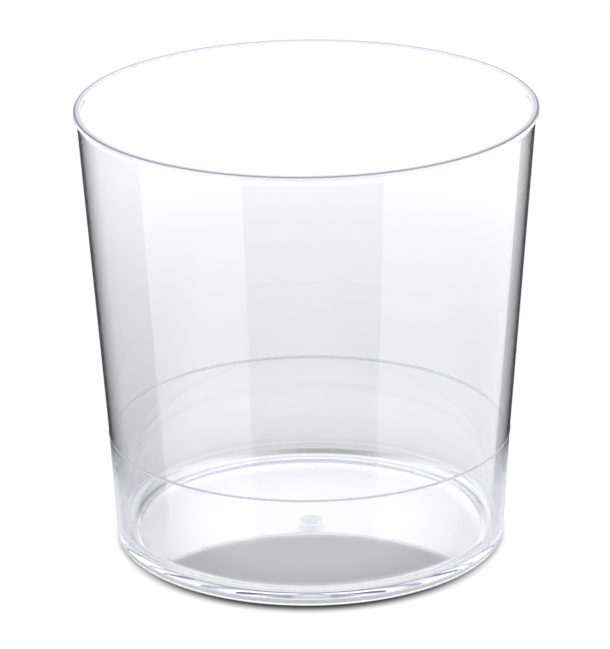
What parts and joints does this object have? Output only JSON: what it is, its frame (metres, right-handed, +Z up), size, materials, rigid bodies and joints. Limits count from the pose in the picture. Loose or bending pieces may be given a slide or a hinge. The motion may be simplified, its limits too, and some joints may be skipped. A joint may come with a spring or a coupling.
{
  "type": "plastic cup",
  "caption": "Clear disposable tumbler, moulded in one piece, with a gently flared wall, a thin lip, a fine moulded line low on the wall and a foot ring under a slightly crowned floor.",
  "frame": {"origin": "centre of the foot ring on the surface that the cup stands on", "axes": "+Z up along the axis of the cup, from the foot to the open mouth"},
  "size_m": [0.093, 0.093, 0.092],
  "materials": {
    "crystal_polystyrene": "clear, glossy as moulded"
  },
  "bodies": {
    "root": {"cup": "crystal_polystyrene"}
  },
  "joints": []
}
